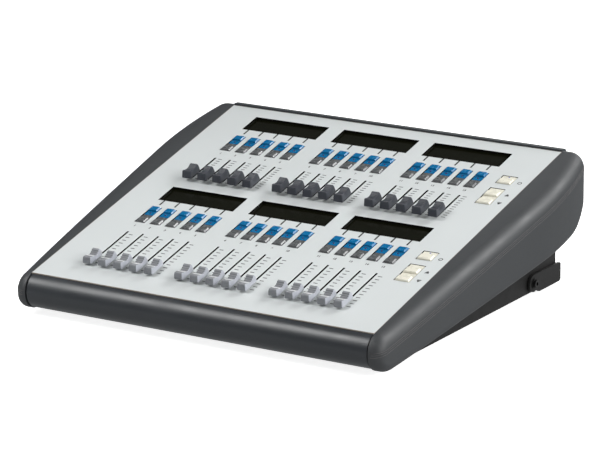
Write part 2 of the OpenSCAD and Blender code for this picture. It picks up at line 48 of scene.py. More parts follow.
# ---------------------------------------------------------------- the frame
# Shapes are drawn in millimetres. DESK has its origin at the panel's front top edge, with Z up.
# PANEL has the same origin and is tilted, with Y up the slope and Z out of the panel.

MM = 0.001
TILT = math.radians(14)
SHEET = 2.0
PANEL_LOW, PANEL_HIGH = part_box("top_panel")
FRONT = Vector((0, PANEL_LOW.y, PANEL_LOW.z + SHEET * MM * math.cos(TILT)))
DESK = Matrix.Translation(FRONT) @ Matrix.Scale(MM, 4)
PANEL = DESK @ Matrix.Rotation(TILT, 4, "X")
PANEL_WIDTH = (PANEL_HIGH.x - PANEL_LOW.x) / MM
PANEL_LENGTH = (PANEL_HIGH.z - FRONT.z) / MM / math.sin(TILT)
SLOPE = math.tan(TILT)

CHANNELS = range(1, 16)


def centre_x(node):
    """Middle of a node from left to right, in millimetres."""
    low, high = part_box(node)
    return (low.x + high.x) / 2 / MM


def front_edge(node):
    """Front edge of a node, up the slope, from its own vertices."""
    back = PANEL.inverted()
    return min((back @ vertex.co).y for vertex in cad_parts[node].data.vertices)


CHANNEL_X = {i: centre_x(f"lower_fader_{i:02d}") for i in CHANNELS}


# ---------------------------------------------------------------- materials

def noise(tree, vector, scale, detail=3.0):
    """Cloudy values from 0 to 1 over the surface."""
    node = tree.nodes.new("ShaderNodeTexNoise")
    node.inputs["Scale"].default_value = scale
    node.inputs["Detail"].default_value = detail
    tree.links.new(vector, node.inputs["Vector"])
    return node.outputs["Fac"]


def spread(tree, value, low, high, start=0.3, end=0.7):
    """Maps a value that varies between start and end to the range from low to high."""
    node = tree.nodes.new("ShaderNodeMapRange")
    node.inputs["From Min"].default_value = start
    node.inputs["From Max"].default_value = end
    node.inputs["To Min"].default_value = low
    node.inputs["To Max"].default_value = high
    tree.links.new(value, node.inputs["Value"])
    return node.outputs["Result"]


def mix(tree, factor, first, second):
    """Mixes two colours. Each of the three values can also be a socket."""
    node = tree.nodes.new("ShaderNodeMix")
    node.data_type = "RGBA"
    for value, socket in ((factor, node.inputs[0]), (first, node.inputs[6]), (second, node.inputs[7])):
        if isinstance(value, bpy.types.NodeSocket):
            tree.links.new(value, socket)
        elif isinstance(value, (int, float)):
            socket.default_value = value
        else:
            socket.default_value = (*value, 1)
    return node.outputs[2]


def along(tree, vector, direction):
    """How far a vector reaches in a fixed direction."""
    node = tree.nodes.new("ShaderNodeVectorMath")
    node.operation = "DOT_PRODUCT"
    node.inputs[1].default_value = direction
    tree.links.new(vector, node.inputs[0])
    return node.outputs["Value"]


def formula(tree, operation, first, second=0.0):
    """One step of arithmetic between two values or sockets."""
    node = tree.nodes.new("ShaderNodeMath")
    node.operation = operation
    for value, socket in zip((first, second), node.inputs):
        if isinstance(value, bpy.types.NodeSocket):
            tree.links.new(value, socket)
        else:
            socket.default_value = value
    return node.outputs[0]


def bricks(tree, width, height, gap):
    """A grid of cells with narrow gaps, with its sizes in millimetres."""
    cells = tree.nodes.new("ShaderNodeTexBrick")
    cells.inputs["Scale"].default_value = 1
    cells.inputs["Brick Width"].default_value = width * MM
    cells.inputs["Row Height"].default_value = height * MM
    cells.inputs["Mortar Size"].default_value = gap * MM
    tree.links.new(tree.nodes.new("ShaderNodeTexCoord").outputs["Object"], cells.inputs["Vector"])
    return cells


def finish(name, colour, roughness, metallic=0.0, mottle=0.06, mottle_scale=60.0, grain=0.012,
           grain_scale=2600.0, roughness_change=0.06, edge=0.0, coat=0.0, specular=0.5):
    """A moulded, painted or metal surface: cloudy colour, fine grain, uneven gloss, and edges made lighter
    as rubbed wear and as a painted highlight.
    """
    material = bpy.data.materials.new(name)
    material.use_nodes = True
    tree = material.node_tree
    shader = tree.nodes["Principled BSDF"]
    place = tree.nodes.new("ShaderNodeTexCoord").outputs["Object"]
    cloud = noise(tree, place, mottle_scale)
    fine = noise(tree, place, grain_scale, 2.0)

    dark = [c * (1 - mottle) for c in colour]
    light = [min(1, c * (1 + mottle)) for c in colour]
    shade = mix(tree, spread(tree, cloud, 0, 1), dark, light)
    shade = mix(tree, spread(tree, fine, 0, 0.5), shade, dark)
    if edge:
        # Pointed edges get a lighter colour: partly rubbed wear, partly a painted highlight along the
        # edges.
        corner = tree.nodes.new("ShaderNodeNewGeometry").outputs["Pointiness"]
        rubbed_and_highlit = [min(1, c * 1.6 + 0.02) for c in colour]
        shade = mix(tree, spread(tree, corner, 0, edge, 0.52, 0.6), shade, rubbed_and_highlit)
    tree.links.new(shade, shader.inputs["Base Color"])

    gloss = spread(tree, cloud, roughness - roughness_change, roughness + roughness_change)
    tree.links.new(gloss, shader.inputs["Roughness"])
    bump = tree.nodes.new("ShaderNodeBump")
    bump.inputs["Strength"].default_value = 0.6
    bump.inputs["Distance"].default_value = grain * MM
    tree.links.new(fine, bump.inputs["Height"])
    tree.links.new(bump.outputs["Normal"], shader.inputs["Normal"])
    shader.inputs["Metallic"].default_value = metallic
    shader.inputs["Coat Weight"].default_value = coat
    shader.inputs["Coat Roughness"].default_value = 0.15
    shader.inputs["Specular IOR Level"].default_value = specular
    return material


def panel_paint():
    """Pale powder coat on the flat faces and bare warm metal round the border. The cut edges inside, round
    the slots and windows, get painted shade: near black and without gloss.
    """
    # Painted shade for the cut edges of the slots and windows.
    cut_edge_shade = (0.008, 0.007, 0.006)
    bare_metal = (0.40, 0.35, 0.30)
    border_start, border_end = 0.25 * MM, 0.45 * MM
    face_specular = 0.5
    outwards = (0, -math.sin(TILT), math.cos(TILT))
    up_slope = (0, math.cos(TILT), math.sin(TILT))
    material = finish("panel_paint", (0.65, 0.68, 0.678), 0.42, mottle=0.015, mottle_scale=9,
                      grain=0.01, grain_scale=3200, roughness_change=0.03)
    tree = material.node_tree
    shader = tree.nodes["Principled BSDF"]
    paint = shader.inputs["Base Color"].links[0].from_socket
    normal = tree.nodes.new("ShaderNodeNewGeometry").outputs["True Normal"]
    face = spread(tree, formula(tree, "ABSOLUTE", along(tree, normal, outwards)), 0, 1, 0.6, 0.9)

    place = tree.nodes.new("ShaderNodeTexCoord").outputs["Object"]
    across = formula(tree, "ABSOLUTE", along(tree, place, (1, 0, 0)))
    climb = along(tree, place, up_slope)
    start = FRONT.y * math.cos(TILT) + FRONT.z * math.sin(TILT)
    side_margin = formula(tree, "SUBTRACT", PANEL_WIDTH / 2 * MM, across)
    front_margin = formula(tree, "SUBTRACT", climb, start)
    rear_margin = formula(tree, "SUBTRACT", start + PANEL_LENGTH * MM, climb)
    margin = formula(tree, "MINIMUM", side_margin, formula(tree, "MINIMUM", front_margin, rear_margin))
    border = spread(tree, margin, 1, 0, border_start, border_end)

    # Painted shade: the cut edges inside are near black and lose their gloss, as if little light reached
    # into the slots and windows.
    tree.links.new(formula(tree, "MULTIPLY", face, face_specular), shader.inputs["Specular IOR Level"])
    inside = mix(tree, face, cut_edge_shade, paint)
    tree.links.new(mix(tree, border, inside, bare_metal), shader.inputs["Base Color"])
    return material


def display_glass():
    """Olive black tinted window with a faint grid of unlit display cells behind it."""
    material = finish("display_glass", (0.0055, 0.006, 0.0028), 0.2, mottle=0.3, mottle_scale=35,
                      grain=0.002, roughness_change=0.04, specular=0.08)
    tree = material.node_tree
    shader = tree.nodes["Principled BSDF"]
    tint = shader.inputs["Base Color"].links[0].from_socket
    cells = bricks(tree, 3.2, 5.2, 0.4)
    cells.offset = 0
    cells.inputs["Color1"].default_value = (0.0085, 0.0088, 0.005, 1)
    cells.inputs["Color2"].default_value = (0.0078, 0.0082, 0.0045, 1)
    cells.inputs["Mortar"].default_value = (0.006, 0.0064, 0.0034, 1)
    tree.links.new(mix(tree, 0.5, tint, cells.outputs["Color"]), shader.inputs["Base Color"])
    return material


def circuit_board():
    """Green solder mask with fine copper traces under it."""
    material = finish("circuit_board", (0.02, 0.12, 0.05), 0.35, mottle=0.15, coat=0.3)
    tree = material.node_tree
    shader = tree.nodes["Principled BSDF"]
    mask = shader.inputs["Base Color"].links[0].from_socket
    traces = bricks(tree, 11, 2.5, 0.35)
    colour = mix(tree, traces.outputs["Fac"], mask, (0.09, 0.26, 0.10))
    tree.links.new(colour, shader.inputs["Base Color"])
    return material


PAINT = panel_paint()
GLASS = display_glass()
BOARD = circuit_board()
CHEEK_PLASTIC = finish("cheek_plastic", (0.029, 0.032, 0.035), 0.58, mottle=0.05, mottle_scale=25,
                       grain=0.03, grain_scale=1500, edge=0.25, specular=0.8)
RAIL_PAINT = finish("rail_paint", (0.034, 0.038, 0.043), 0.33, mottle=0.04, mottle_scale=20,
                    grain=0.015, grain_scale=2400, edge=0.3, specular=0.5)
# The pin lines are coloured paler than the cheek, partly as a painted highlight along the raised beads.
PIN_LINE_HIGHLIGHT = finish("pin_line_highlight", (0.125, 0.12, 0.12), 0.7, mottle=0.1, specular=0.2)
TRIM_PAINT = finish("trim_paint", (0.045, 0.05, 0.054), 0.6, mottle=0.05, mottle_scale=20, specular=0.25)
CHASSIS_BLACK = finish("chassis_black", (0.009, 0.0088, 0.0086), 0.55, mottle=0.15, grain=0.04,
                       grain_scale=1800, edge=0.3, specular=0.3)
SCREW_BLACK = finish("screw_black", (0.02, 0.02, 0.02), 0.35, metallic=0.6, mottle=0.2, edge=0.5)
SLATE_CAP = finish("slate_cap", (0.037, 0.041, 0.052), 0.42, mottle=0.08, grain=0.02, edge=0.5)
GREY_CAP = finish("grey_cap", (0.20, 0.21, 0.225), 0.33, mottle=0.06, grain=0.015, edge=0.5)
# Painted reflection: the sides of the lower caps are coloured paler, for the bright panel they reflect.
PALE_SIDE_REFLECTION = finish("pale_side_reflection", (0.43, 0.445, 0.49), 0.32, mottle=0.04, grain=0.01)
# Painted highlight: a pale line across a lower cap's step, for the light caught by its rim.
STEP_HIGHLIGHT = finish("step_highlight", (0.75, 0.76, 0.77), 0.35, mottle=0.04, grain=0.005)
LEVER_STEEL = finish("lever_steel", (0.32, 0.32, 0.33), 0.3, metallic=0.9, mottle=0.1, mottle_scale=400)
BLUE_KEY = finish("blue_key", (0.0, 0.14, 0.33), 0.25, mottle=0.08, mottle_scale=150, grain=0.006,
                  specular=0.3)
GREY_KEY = finish("grey_key", (0.105, 0.11, 0.112), 0.27, mottle=0.08, mottle_scale=150, grain=0.006)
CREAM_KEY = finish("cream_key", (0.80, 0.775, 0.66), 0.28, mottle=0.03, mottle_scale=120, grain=0.006)
RED_LENS = finish("red_lens", (0.09, 0.012, 0.06), 0.2, mottle=0.2, specular=0.3)
BLUE_LENS = finish("blue_lens", (0.03, 0.06, 0.36), 0.2, mottle=0.2, specular=0.3)
PRINT_GREY = finish("print_grey", (0.09, 0.094, 0.09), 0.6, mottle=0.12, mottle_scale=300)
PRINT_DARK = finish("print_dark", (0.022, 0.022, 0.022), 0.6, mottle=0.12, mottle_scale=300,
                    specular=0.2)
RUBBER = finish("rubber", (0.016, 0.016, 0.016), 0.8, mottle=0.25, grain=0.06, grain_scale=1200)
MODULE_BLACK = finish("module_black", (0.02, 0.022, 0.014), 0.5, mottle=0.2)
SWITCH_BLACK = finish("switch_black", (0.012, 0.012, 0.012), 0.45, mottle=0.2, grain=0.02)
SOCKET_BLACK = finish("socket_black", (0.018, 0.018, 0.018), 0.4, mottle=0.15, grain=0.02, edge=0.4)
ROCKER_BLACK = finish("rocker_black", (0.02, 0.02, 0.02), 0.25, mottle=0.1, edge=0.5)
# The fader housings seen down the slots: black steel, made near black and almost without gloss as painted
# shade in the slots.
SLOT_SHADE_STEEL = finish("slot_shade_steel", (0.004, 0.004, 0.004), 0.6, mottle=0.2, specular=0.05)
BRIGHT_STEEL = finish("bright_steel", (0.55, 0.55, 0.56), 0.28, metallic=1.0, mottle=0.08)
ALUMINIUM = finish("aluminium", (0.6, 0.61, 0.62), 0.35, metallic=1.0, mottle=0.06)
BRASS = finish("brass", (0.6, 0.42, 0.16), 0.3, metallic=1.0, mottle=0.12)
RIBBON = finish("ribbon", (0.42, 0.42, 0.44), 0.5, mottle=0.08, mottle_scale=500)


# ---------------------------------------------------------------- mesh helpers

def smooth(mesh, angle):
    """Shades a mesh smoothly, but keeps the edges that turn by more than the angle sharp."""
    mesh.polygons.foreach_set("use_smooth", [True] * len(mesh.polygons))
    mesh.set_sharp_from_angle(angle=math.radians(angle))


def add_piece(name, mesh, body, place=None, angle=35):
    """Puts a mesh drawn in millimetres into the frame, as a piece that rides on a body."""
    if place is not None:
        mesh.transform(place)
    smooth(mesh, angle)
    piece = bpy.data.objects.new(name, mesh)
    bpy.context.scene.collection.objects.link(piece)
    piece.modifiers.new("even_shading", "WEIGHTED_NORMAL").keep_sharp = True
    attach(piece, body)
    return piece


def to_mesh(name, shape, materials):
    """Turns a drawn shape into a mesh with its faces outwards, and frees the shape."""
    mesh = bpy.data.meshes.new(name)
    bmesh.ops.recalc_face_normals(shape, faces=shape.faces[:])
    shape.to_mesh(mesh)
    shape.free()
    for material in materials:
        mesh.materials.append(material)
    return mesh


def loft(rings):
    """A closed surface through rings of points. Every ring has the same number of points."""
    shape = bmesh.new()
    rows = [[shape.verts.new(point) for point in ring] for ring in rings]
    count = len(rows[0])
    for row, following in zip(rows, rows[1:]):
        for i in range(count):
            shape.faces.new((row[i], row[(i + 1) % count], following[(i + 1) % count], following[i]))
    shape.faces.new(rows[0])
    shape.faces.new(rows[-1])
    return shape


def add_block(shape, low, high):
    """Adds a plain block between two corners, for the thin printed marks."""
    corners = [[(low[0], high[0])[i], (low[1], high[1])[j], (low[2], high[2])[k]]
               for i in (0, 1) for j in (0, 1) for k in (0, 1)]
    points = [shape.verts.new(corner) for corner in corners]
    for face in ((0, 1, 3, 2), (4, 6, 7, 5), (0, 4, 5, 1), (2, 3, 7, 6), (0, 2, 6, 4), (1, 5, 7, 3)):
        shape.faces.new([points[i] for i in face])


def arc_points(centre, radius, start, end, steps):
    """Points on an arc in a plane, with angles in degrees."""
    turns = [math.radians(start + (end - start) * i / steps) for i in range(steps + 1)]
    return [(centre[0] + radius * math.cos(t), centre[1] + radius * math.sin(t)) for t in turns]


# ---------------------------------------------------------------- cheeks
# The same outline and section rules as the CAD cheeks, drawn with many more stations.

# Side outline: a round nose, a lower edge that climbs to the rear, and two round rear corners.
NOSE_REACH = 14.0
NOSE_RADIUS = 21.0
NOSE_Y = NOSE_RADIUS - NOSE_REACH
NOSE_Z = NOSE_Y * SLOPE - NOSE_RADIUS / math.cos(TILT)
NOSE_DROP = 21.2
CHEEK_REAR = 411.5
LOW_Y = 10.0
LOW_Z = NOSE_Z - NOSE_DROP
LOW_SLOPE = math.radians(8.75)
REAR_LOW_RADIUS = 56.0
REAR_TOP_RADIUS = 9.0
REAR_LOW_Y = CHEEK_REAR - REAR_LOW_RADIUS
REAR_LOW_Z = LOW_Z + (REAR_LOW_Y - LOW_Y) * math.tan(LOW_SLOPE) + REAR_LOW_RADIUS / math.cos(LOW_SLOPE)
REAR_TOP_Y = CHEEK_REAR - REAR_TOP_RADIUS
REAR_TOP_Z = REAR_TOP_Y * SLOPE - REAR_TOP_RADIUS / math.cos(TILT)

# Thickness outwards, roundings and the hollow on the inner side.
NOSE_THICKNESS = 14.0
GROWTH = 24.5
WIDEST_Y = 312.0
TAPER = 19.5
TAPER_Y = 290.0
TOP_ROUND = 16.0
FOOT_ROUND = 10.0
PLAN_ROUND = 12.0
HOLLOW_FRONT = 20.0
HOLLOW_REAR = 392.0
CHEEK_WALL = 4.5


def arch(distance, reach, rise):
    """Height of a quarter ellipse at a distance from its centre."""
    return rise * math.sqrt(max(0, 1 - (distance / reach) ** 2))


def cheek_top(y):
    """Height of a cheek's top edge at a place."""
    if y < NOSE_Y - NOSE_RADIUS * math.sin(TILT):
        return NOSE_Z + arch(y - NOSE_Y, NOSE_RADIUS, NOSE_RADIUS)
    if y > REAR_TOP_Y - REAR_TOP_RADIUS * math.sin(TILT):
        return REAR_TOP_Z + arch(y - REAR_TOP_Y, REAR_TOP_RADIUS, REAR_TOP_RADIUS)
    return y * SLOPE


def cheek_bottom(y):
    """Height of a cheek's lower edge at a place."""
    if y < NOSE_Y:
        return NOSE_Z - arch(y - NOSE_Y, NOSE_RADIUS, NOSE_DROP)
    if y < LOW_Y:
        return LOW_Z
    if y > REAR_LOW_Y + REAR_LOW_RADIUS * math.sin(LOW_SLOPE):
        return REAR_LOW_Z - arch(y - REAR_LOW_Y, REAR_LOW_RADIUS, REAR_LOW_RADIUS)
    return LOW_Z + (y - LOW_Y) * math.tan(LOW_SLOPE)


def cheek_thickness(y):
    """Thickness at a place: it grows from the nose, tapers at the rear and rounds off at both ends."""
    grown = NOSE_THICKNESS + GROWTH * ((y + NOSE_REACH) / (WIDEST_Y + NOSE_REACH)) ** 0.75
    tapered = TAPER * (max(0.0, y - TAPER_Y) / (CHEEK_REAR - TAPER_Y)) ** 2
    front = PLAN_ROUND - arch(max(0, PLAN_ROUND - NOSE_REACH - y), PLAN_ROUND, PLAN_ROUND)
    rear = PLAN_ROUND - arch(max(0, y - CHEEK_REAR + PLAN_ROUND), PLAN_ROUND, PLAN_ROUND)
    return grown - tapered - front - rear


def cheek_outline(y):
    """Outer surface of one section, from the foot to the top, as (x, z) points."""
    low, high, out = cheek_bottom(y), cheek_top(y), cheek_thickness(y)
    tall = high - low
    top_z, foot_z = min(TOP_ROUND, 0.5 * tall), min(FOOT_ROUND, 0.4 * tall)
    top_x, foot_x = min(TOP_ROUND, 0.9 * out), min(FOOT_ROUND, 0.9 * out)
    points = [(0.0, low)]
    for x, z in arc_points((0, 0), 1, -90, 0, 8):
        points.append((out - foot_x + foot_x * x, low + foot_z + foot_z * z))
    for x, z in arc_points((0, 0), 1, 0, 90, 16):
        points.append((out - top_x + top_x * x, high - top_z + top_z * z))
    points.append((0.0, high))
    return points


def cheek_ring(y):
    """One whole section: the outer surface, and the chamfered hollow that all but closes at the ends."""
    closed, step = 0.01, 0.1
    low, high, out = cheek_bottom(y), cheek_top(y), cheek_thickness(y)
    deep = out - CHEEK_WALL if HOLLOW_FRONT < y < HOLLOW_REAR else 2 * closed
    tall = high - low
    rim, slant = min(4, tall / 6), min(11, tall / 5)
    shallow = max(closed, deep - slant)
    inside = [(0, high - rim), (shallow, high - rim - step), (deep, high - rim - slant),
              (deep, low + rim + slant), (shallow, low + rim + step), (0, low + rim)]
    return [(x, y, z) for x, z in cheek_outline(y) + inside]


def cheek_stations():
    """Places of the sections. They stand closer together where the outline turns."""
    nose_turns = [math.radians(3.75 * i) for i in range(2, 25)]
    rear_turns = [math.radians(3 * i) for i in range(31)]
    nose = [-NOSE_REACH + NOSE_RADIUS * (1 - math.cos(turn)) for turn in nose_turns]
    middle = [10.0, 14.0, 17.0, HOLLOW_FRONT, HOLLOW_FRONT + 0.5] + [28.0 + 8 * i for i in range(41)]
    rear = [REAR_LOW_Y + REAR_LOW_RADIUS * math.sin(turn) for turn in rear_turns]
    extra = [HOLLOW_REAR, HOLLOW_REAR + 0.5]
    return sorted(set(round(y, 4) for y in nose + middle + rear + extra))


def cheek_side_x(y, z):
    """How far the outer surface of a cheek stands out at a place and height."""
    points = cheek_outline(y)
    for (x1, z1), (x2, z2) in zip(points, points[1:]):
        if min(z1, z2) <= z <= max(z1, z2) and abs(z2 - z1) > 1e-9:
            return x1 + (x2 - x1) * (z - z1) / (z2 - z1)
    return 0.0


def bead(path, radius):
    """A thin round bead along a path of points."""
    sides = 6
    rings = []
    for i, point in enumerate(path):
        before, after = path[max(0, i - 1)], path[min(len(path) - 1, i + 1)]
        onward = (Vector(after) - Vector(before)).normalized()
        across = onward.cross(Vector((0, 0, 1))).normalized()
        up = across.cross(onward)
        turns = [2 * math.pi * k / sides for k in range(sides)]
        rings.append([Vector(point) + (across * math.cos(t) + up * math.sin(t)) * radius for t in turns])
    return loft(rings)


def cheek_line(depth):
    """Path of one pin line: it follows the outer surface at a fixed depth below the panel's plane."""
    places = [y for y in cheek_stations() if y < CHEEK_REAR - 0.5]
    path = [(cheek_side_x(y, y * SLOPE - depth), y, y * SLOPE - depth) for y in places]
    return [p for p in path if p[0] > 0.5]


# Depths of the pin lines below the panel's plane. The lines are thin raised beads, coloured paler than the
# cheek partly as a painted highlight along them.
PIN_DEPTHS = (14.0, 16.0, 18.5)
PIN_RADIUS = 0.28


def build_cheek(side_name, mirrored):
    """A cheek with its three pin lines. The left one is the right one, mirrored."""
    place = DESK @ Matrix.Scale(-1 if mirrored else 1, 4, (1, 0, 0))
    place = place @ Matrix.Translation((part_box("right_cheek")[0].x / MM, 0, 0))
    shell = to_mesh(f"{side_name}_cheek_shell", loft([cheek_ring(y) for y in cheek_stations()]),
                    [CHEEK_PLASTIC])
    piece = add_piece(f"{side_name}_cheek_shell", shell, "desk", place, angle=40)
    if mirrored:
        piece.data.flip_normals()
    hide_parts(f"{side_name}_cheek")
    for number, depth in enumerate(PIN_DEPTHS, start=1):
        line = to_mesh(f"{side_name}_cheek_line_{number}", bead(cheek_line(depth), PIN_RADIUS), [PIN_LINE_HIGHLIGHT])
        made = add_piece(line.name, line, "desk", place, angle=80)
        if mirrored:
            made.data.flip_normals()


build_cheek("right", False)
build_cheek("left", True)


# ---------------------------------------------------------------- front rail

def build_front_rail():
    """A bent sheet with a half round nose. It stops just in front of the panel and runs on under it."""
    end_gap = 1.4
    half = PANEL_WIDTH / 2 - end_gap
    radius = NOSE_RADIUS - 1.0
    wall = 2.5
    rear = 26.0
    lead = 0.2
    under = -SHEET - lead
    chamfer = 0.5
    soft = 0.15
    centre_v = NOSE_Y * math.cos(TILT) + NOSE_Z * math.sin(TILT)

    def on_desk(v, n):
        """A place given up the slope and out of the panel, as (y, z) on the desk."""
        return v * math.cos(TILT) - n * math.sin(TILT), v * math.sin(TILT) + n * math.cos(TILT)

    def outline(inset):
        """Closed outline of the rail's bent sheet. inset draws its outer face in at the two ends."""
        outer, inner = radius - inset, radius - wall
        start = math.degrees(math.acos((-lead - centre_v) / outer)) + math.degrees(TILT)
        meets = (NOSE_Z + outer - under / math.cos(TILT)) / SLOPE
        nose = arc_points((NOSE_Y, NOSE_Z), outer, start, 270, 56)
        back = arc_points((NOSE_Y, NOSE_Z), inner, 270, 90, 40)
        return (nose + [(rear, NOSE_Z - outer), (rear, NOSE_Z - inner)] + back
                + [(rear, NOSE_Z + inner), (rear, NOSE_Z + outer), (meets, NOSE_Z + outer)]
                + [on_desk(-lead, under)])

    stations = [(-half, chamfer), (-half + soft, chamfer / 3), (-half + chamfer, 0)]
    stations += [(-half + 2 * half * i / 12, 0) for i in range(1, 12)]
    stations += [(half - chamfer, 0), (half - soft, chamfer / 3), (half, chamfer)]
    rings = [[(x, y, z) for y, z in outline(cut)] for x, cut in stations]
    mesh = to_mesh("front_rail_shell", loft(rings), [RAIL_PAINT])
    piece = add_piece("front_rail_shell", mesh, "desk", DESK, angle=30)
    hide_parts("front_rail")


build_front_rail()


# ---------------------------------------------------------------- keys

# Heights of a key cap, out from the panel's surface.
KEY_SKIRT = -6.0
KEY_FLAT = -0.4
KEY_RIM = 0.15
KEY_PAD = 1.7

# Sizes of the caps, and the places of the page keys behind the front edge of their cutout.
KEY_WIDTH = 11.7
KEY_LENGTH = 17.3
PAGE_WIDTH = 17.1
PAGE_LENGTH = 17.5
PAGE_PLACES = (0.6, 18.4, 47.5)
PAD_START = 8.0
EDGE_ROUND = 0.13

# The small lights stand on the flat part of a key: behind a blue key's front edge, and in front of a
# page key's rear edge and a little left of its middle.
LIGHT_RISE = 0.4
KEY_LIGHT_RADIUS = 1.05
KEY_LIGHT_PLACE = 4.4
PAGE_LIGHT_RADIUS = 1.0
PAGE_LIGHT_LEFT = 0.4
PAGE_LIGHT_FROM_REAR = 1.9


def key_cap(width, length, pad_in_front):
    """A key cap with a flat part, a raised pad with sloping flanks and a skirt, all edges rounded."""
    side_flank, end_flank, inner_flank = 1.2, 0.8, 0.3
    lift = inner_flank * (KEY_RIM - KEY_FLAT) / (KEY_PAD - KEY_FLAT)
    shape = bmesh.new()
    left = [(0, 0, KEY_SKIRT), (0, length, KEY_SKIRT), (0, length, KEY_RIM),
            (side_flank, length - end_flank, KEY_PAD), (side_flank, PAD_START + inner_flank, KEY_PAD),
            (0, PAD_START + lift, KEY_RIM), (0, PAD_START, KEY_FLAT), (0, 0, KEY_FLAT)]
    near = [shape.verts.new(p) for p in left]
    far = [shape.verts.new((width - x, y, z)) for x, y, z in left]
    for verts in (near, far):
        shape.faces.new((verts[0], verts[1], verts[2], verts[5], verts[6], verts[7]))
        shape.faces.new((verts[2], verts[3], verts[4], verts[5]))
    for first, second in ((0, 1), (1, 2), (2, 3), (3, 4), (6, 7), (7, 0)):
        shape.faces.new((near[first], far[first], far[second], near[second]))
    shape.faces.new((near[4], far[4], far[5], far[6], near[6], near[5]))
    bmesh.ops.recalc_face_normals(shape, faces=shape.faces[:])
    sharp = [e for e in shape.edges if e.calc_face_angle(0) > 0.2]
    bmesh.ops.bevel(shape, geom=sharp, offset=EDGE_ROUND, segments=2, profile=0.6, affect="EDGES",
                    clamp_overlap=True)
    if pad_in_front:
        bmesh.ops.scale(shape, vec=(1, -1, 1), verts=shape.verts[:])
        bmesh.ops.translate(shape, vec=(0, length, 0), verts=shape.verts[:])
    return shape


def lens(radius):
    """A small domed lens on its own short collar."""
    sides, rows, collar = 20, 4, -0.6
    turns = [2 * math.pi * k / sides for k in range(sides)]
    rings = [[(radius * math.cos(t), radius * math.sin(t), collar) for t in turns]]
    for i in range(rows):
        climb = math.radians(90 * i / rows)
        size, rise = radius * math.cos(climb), LIGHT_RISE * math.sin(climb)
        rings.append([(size * math.cos(t), size * math.sin(t), rise) for t in turns])
    return loft(rings)


def add_key(name, size, pad_in_front, material, body, left, v):
    """Puts a key cap on the panel. It stands in for its part of the CAD node with its body's name."""
    cap = to_mesh(name, key_cap(*size, pad_in_front), [material])
    piece = add_piece(name, cap, body, PANEL @ Matrix.Translation((left, v, 0)))
    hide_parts(body)


def add_light(name, radius, material, body, x, v):
    """Puts a lens on the flat part of a key."""
    light = to_mesh(name, lens(radius), [material])
    add_piece(name, light, body, PANEL @ Matrix.Translation((x, v, KEY_FLAT)))


def build_channel_keys(bank):
    """The blue and the grey key of each channel, and the light in the blue one."""
    grey_keys, blue_keys = f"{bank}_grey_keys", f"{bank}_blue_keys"
    grey_front = front_edge(grey_keys)
    blue_front = front_edge(blue_keys)
    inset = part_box(blue_keys)[0].x / MM - CHANNEL_X[1]
    size = (KEY_WIDTH, KEY_LENGTH)
    for i in CHANNELS:
        left = CHANNEL_X[i] + inset
        add_key(f"{bank}_grey_key_{i:02d}", size, True, GREY_KEY, grey_keys, left, grey_front)
        add_key(f"{bank}_blue_key_{i:02d}", size, False, BLUE_KEY, blue_keys, left, blue_front)
        add_light(f"{bank}_key_light_{i:02d}", KEY_LIGHT_RADIUS, RED_LENS, blue_keys,
                  CHANNEL_X[i], blue_front + KEY_LIGHT_PLACE)


def build_page_keys(bank):
    """Three page keys, and the light in the rear one."""
    page_keys = f"{bank}_page_keys"
    front = front_edge(page_keys)
    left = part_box(page_keys)[0].x / MM
    size = (PAGE_WIDTH, PAGE_LENGTH)
    for number, place in enumerate(PAGE_PLACES, start=1):
        add_key(f"{bank}_page_key_{number}", size, True, CREAM_KEY, page_keys, left,
                front - PAGE_PLACES[0] + place)
    rear = front - PAGE_PLACES[0] + PAGE_PLACES[-1] + PAGE_LENGTH
    add_light(f"{bank}_page_light", PAGE_LIGHT_RADIUS, BLUE_LENS, page_keys,
              left + PAGE_WIDTH / 2 - PAGE_LIGHT_LEFT, rear - PAGE_LIGHT_FROM_REAR)


for bank in ("upper", "lower"):
    build_channel_keys(bank)
    build_page_keys(bank)


# ---------------------------------------------------------------- fader caps

# Heights of the two kinds of cap above the panel, and the reach of a cap in front of its lever.
UPPER_LOW, LOWER_LOW = 4.7, 2.9
LEVER_TO_FRONT = {"upper": 9.9, "lower": 9.4}
CAP_HALF = 5.7
REAR_HALF = 5.4
REAR_RADIUS = 3.6


def ramp(places, y):
    """Value at y on a line through (place, value) pairs, eased at the pairs."""
    for (y1, a), (y2, b) in zip(places, places[1:]):
        if y <= y2:
            share = min(1, max(0, (y - y1) / (y2 - y1)))
            return a + (b - a) * share * share * (3 - 2 * share)
    return places[-1][1]


def ridged_top(start, end, scoop, depth, ridges, plain, steps):
    """Scooped top between two (place, height) points, with cross ridges behind its plain share."""
    points = []
    for i in range(1, steps + 1):
        share = i / steps
        wave = 0.5 - 0.5 * math.cos(2 * math.pi * ridges * share)
        ridge = depth * wave if share > plain else 0
        y = start[0] + (end[0] - start[0]) * share
        height = start[1] + (end[1] - start[1]) * share - scoop * math.sin(math.pi * share) - ridge
        points.append((y, height))
    return points


def rear_stations(peak, low, half, top):
    """Stations down the rounded rear of a cap, whose foot is drawn in at the end."""
    stations = []
    for turn in (75, 60, 45, 32, 20, 10):
        y = peak[0] + REAR_RADIUS * math.cos(math.radians(turn))
        height = low + (peak[1] - low) * math.sin(math.radians(turn))
        drawn_in = 0.4 if y > peak[0] + 3 else 0
        stations.append((y, height, half - drawn_in, ramp(top, y)))
    return stations


